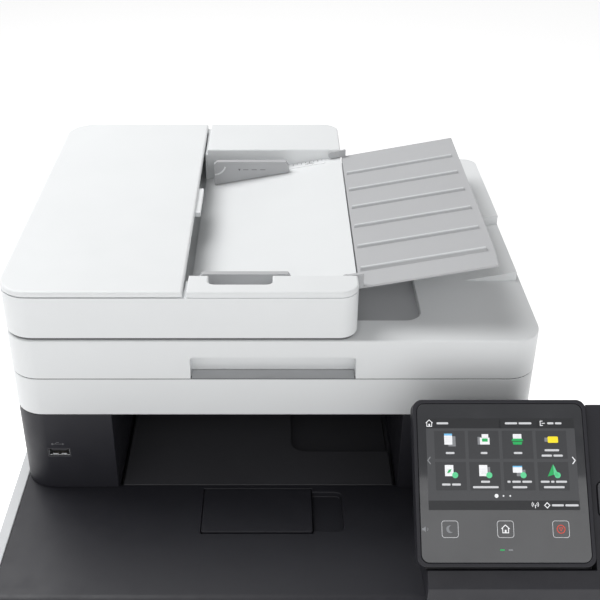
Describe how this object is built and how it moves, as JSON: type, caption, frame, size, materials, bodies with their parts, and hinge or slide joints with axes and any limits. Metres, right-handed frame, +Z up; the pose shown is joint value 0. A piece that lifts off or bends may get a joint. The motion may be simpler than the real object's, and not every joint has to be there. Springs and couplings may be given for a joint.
{
  "type": "photocopier",
  "caption": "Compact desktop photocopier: document feeder lid over a flatbed reader, an output bay between columns, tilting touch panel, paper cassette.",
  "frame": {"origin": "middle of the overall box at the bottom of the feet", "axes": "+X to the right as the user faces the front, +Y to the back, +Z up"},
  "size_m": [0.471, 0.469, 0.4602],
  "materials": {
    "white_plastic": "fine moulded texture, satin",
    "side_grey": "fine moulded texture, satin",
    "black_plastic": "fine moulded texture, satin",
    "dark_plastic": "satin",
    "tray_grey": "satin",
    "pad_white": "soft matte sheet",
    "steel": "galvanised sheet",
    "power_case": "sheet metal case",
    "rubber": "matte",
    "roller_rubber": "matte",
    "glass": "clear polished",
    "panel_glass": "high gloss",
    "cartridge_plastic": "satin",
    "belt_film": "smooth film"
  },
  "bodies": {
    "engine": {"base_pan": "steel", "foot_front_left": "rubber", "foot_back_left": "rubber", "foot_front_right": "rubber", "foot_back_right": "rubber", "left_frame": "steel", "right_frame": "steel", "left_side_cover": "side_grey", "right_side_cover": "side_grey", "rear_panel": "white_plastic", "power_inlet": "black_plastic", "top_cover": "black_plastic", "output_tray": "dark_plastic", "left_column": "black_plastic", "right_column": "black_plastic", "usb_port": "steel", "exit_housing": "black_plastic", "reader_case": "white_plastic", "platen_glass": "glass", "feeder_glass": "glass", "carriage_rod": "steel", "lid_hinge_left": "steel", "lid_hinge_right": "steel", "panel_base": "black_plastic", "laser_unit": "black_plastic", "toner_drawer": "dark_plastic", "toner_cartridge_yellow": "cartridge_plastic", "toner_cartridge_magenta": "cartridge_plastic", "toner_cartridge_cyan": "cartridge_plastic", "toner_cartridge_black": "cartridge_plastic", "transfer_belt": "belt_film", "power_supply": "power_case"},
    "lid": {"platen_cover": "white_plastic", "platen_pad": "pad_white", "feeder_housing": "white_plastic"},
    "feeder_cover": {"feeder_cover": "white_plastic"},
    "pickup_roller": {"pickup_roller": "roller_rubber"},
    "feed_roller": {"feed_roller": "roller_rubber"},
    "document_tray": {"document_tray": "tray_grey"},
    "front_guide": {"front_guide": "tray_grey"},
    "rear_guide": {"rear_guide": "tray_grey"},
    "scan_carriage": {"scan_carriage": "black_plastic"},
    "output_stopper": {"output_stopper": "black_plastic"},
    "rear_cover": {"rear_cover": "white_plastic"},
    "panel": {"panel_housing": "black_plastic", "touch_glass": "panel_glass"},
    "power_button": {"power_button": "dark_plastic"},
    "front_cover": {"front_cover": "white_plastic"},
    "mp_tray": {"mp_tray": "white_plastic"},
    "cassette": {"cassette_front": "white_plastic", "cassette_tray": "dark_plastic"},
    "cassette_lift_plate": {"cassette_lift_plate": "steel"},
    "cassette_left_guide": {"cassette_left_guide": "dark_plastic"},
    "cassette_right_guide": {"cassette_right_guide": "dark_plastic"},
    "cassette_end_guide": {"cassette_end_guide": "dark_plastic"},
    "fuser_roller": {"fuser_roller": "roller_rubber"},
    "pressure_roller": {"pressure_roller": "roller_rubber"},
    "cassette_pickup_roller": {"cassette_pickup_roller": "roller_rubber"},
    "exit_roller": {"exit_roller": "roller_rubber"}
  },
  "joints": [
    {"name": "lid_hinge", "type": "hinge", "parent": "engine", "child": "lid", "pos_m": [0, 0.2275, 0.372], "axis": [-1, 0, 0], "range_deg": [0, 65]},
    {"name": "feeder_cover_hinge", "type": "hinge", "parent": "lid", "child": "feeder_cover", "pos_m": [-0.2254, 0, 0.4456], "axis": [0, -1, 0], "range_deg": [0, 80]},
    {"name": "feed_roller_spin", "type": "hinge", "parent": "lid", "child": "feed_roller", "pos_m": [-0.14, 0, 0.426], "axis": [0, 1, 0], "continuous": true},
    {"name": "pickup_roller_spin", "type": "hinge", "parent": "lid", "child": "pickup_roller", "pos_m": [-0.104, 0, 0.427], "axis": [0, 1, 0], "continuous": true},
    {"name": "document_tray_hinge", "type": "hinge", "parent": "lid", "child": "document_tray", "pos_m": [0.033, 0, 0.44241], "axis": [0, -1, 0], "range_deg": [0, 50]},
    {"name": "front_guide_slide", "type": "slide", "parent": "lid", "child": "front_guide", "axis": [0, 1, 0], "range_m": [-0.0025, 0.04]},
    {"name": "rear_guide_slide", "type": "slide", "parent": "lid", "child": "rear_guide", "axis": [0, -1, 0], "range_m": [-0.0025, 0.04]},
    {"name": "scan_carriage_slide", "type": "slide", "parent": "engine", "child": "scan_carriage", "axis": [1, 0, 0], "range_m": [0, 0.32]},
    {"name": "output_stopper_hinge", "type": "hinge", "parent": "engine", "child": "output_stopper", "pos_m": [0, -0.1569, 0.2585], "axis": [1, 0, 0], "range_deg": [0, 105]},
    {"name": "panel_tilt", "type": "hinge", "parent": "engine", "child": "panel", "pos_m": [0.1447, -0.13685, 0.36071], "axis": [-1, 0, 0], "range_deg": [0, 35]},
    {"name": "power_button_push", "type": "slide", "parent": "engine", "child": "power_button", "axis": [0, 0.7071, -0.7071], "range_m": [0, 0.002], "stiffness_N_per_m": 600, "springref_m": -0.001},
    {"name": "front_cover_hinge", "type": "hinge", "parent": "engine", "child": "front_cover", "pos_m": [0, -0.2325, 0.148], "axis": [1, 0, 0], "range_deg": [0, 85]},
    {"name": "mp_tray_hinge", "type": "hinge", "parent": "engine", "child": "mp_tray", "pos_m": [0, -0.2325, 0.089], "axis": [1, 0, 0], "range_deg": [0, 85]},
    {"name": "rear_cover_hinge", "type": "hinge", "parent": "engine", "child": "rear_cover", "pos_m": [0, 0.2323, 0.0945], "axis": [-1, 0, 0], "range_deg": [0, 80]},
    {"name": "cassette_slide", "type": "slide", "parent": "engine", "child": "cassette", "axis": [0, -1, 0], "range_m": [0, 0.3]},
    {"name": "lift_plate_hinge", "type": "hinge", "parent": "cassette", "child": "cassette_lift_plate", "pos_m": [0, -0.057, 0.0213], "axis": [1, 0, 0], "range_deg": [0, 10]},
    {"name": "cassette_left_guide_slide", "type": "slide", "parent": "cassette", "child": "cassette_left_guide", "axis": [1, 0, 0], "range_m": [0, 0.031]},
    {"name": "cassette_right_guide_slide", "type": "slide", "parent": "cassette", "child": "cassette_right_guide", "axis": [-1, 0, 0], "range_m": [0, 0.031]},
    {"name": "cassette_end_guide_slide", "type": "slide", "parent": "cassette", "child": "cassette_end_guide", "axis": [0, 1, 0], "range_m": [0, 0.08]},
    {"name": "fuser_roller_spin", "type": "hinge", "parent": "engine", "child": "fuser_roller", "pos_m": [0, 0.176, 0.215], "axis": [1, 0, 0], "continuous": true},
    {"name": "pressure_roller_spin", "type": "hinge", "parent": "engine", "child": "pressure_roller", "pos_m": [0, 0.2006, 0.215], "axis": [1, 0, 0], "continuous": true},
    {"name": "exit_roller_spin", "type": "hinge", "parent": "engine", "child": "exit_roller", "pos_m": [0, 0.167, 0.303], "axis": [1, 0, 0], "continuous": true},
    {"name": "cassette_pickup_spin", "type": "hinge", "parent": "engine", "child": "cassette_pickup_roller", "pos_m": [0, 0.14, 0.0845], "axis": [1, 0, 0], "continuous": true}
  ],
  "couplings": [
    {"joint": "pickup_roller_spin", "follows": "feed_roller_spin", "ratio": 1.1111},
    {"joint": "rear_guide_slide", "follows": "front_guide_slide", "ratio": 1},
    {"joint": "cassette_right_guide_slide", "follows": "cassette_left_guide_slide", "ratio": 1},
    {"joint": "pressure_roller_spin", "follows": "fuser_roller_spin", "ratio": -1},
    {"joint": "exit_roller_spin", "follows": "fuser_roller_spin", "ratio": 1.7143}
  ]
}
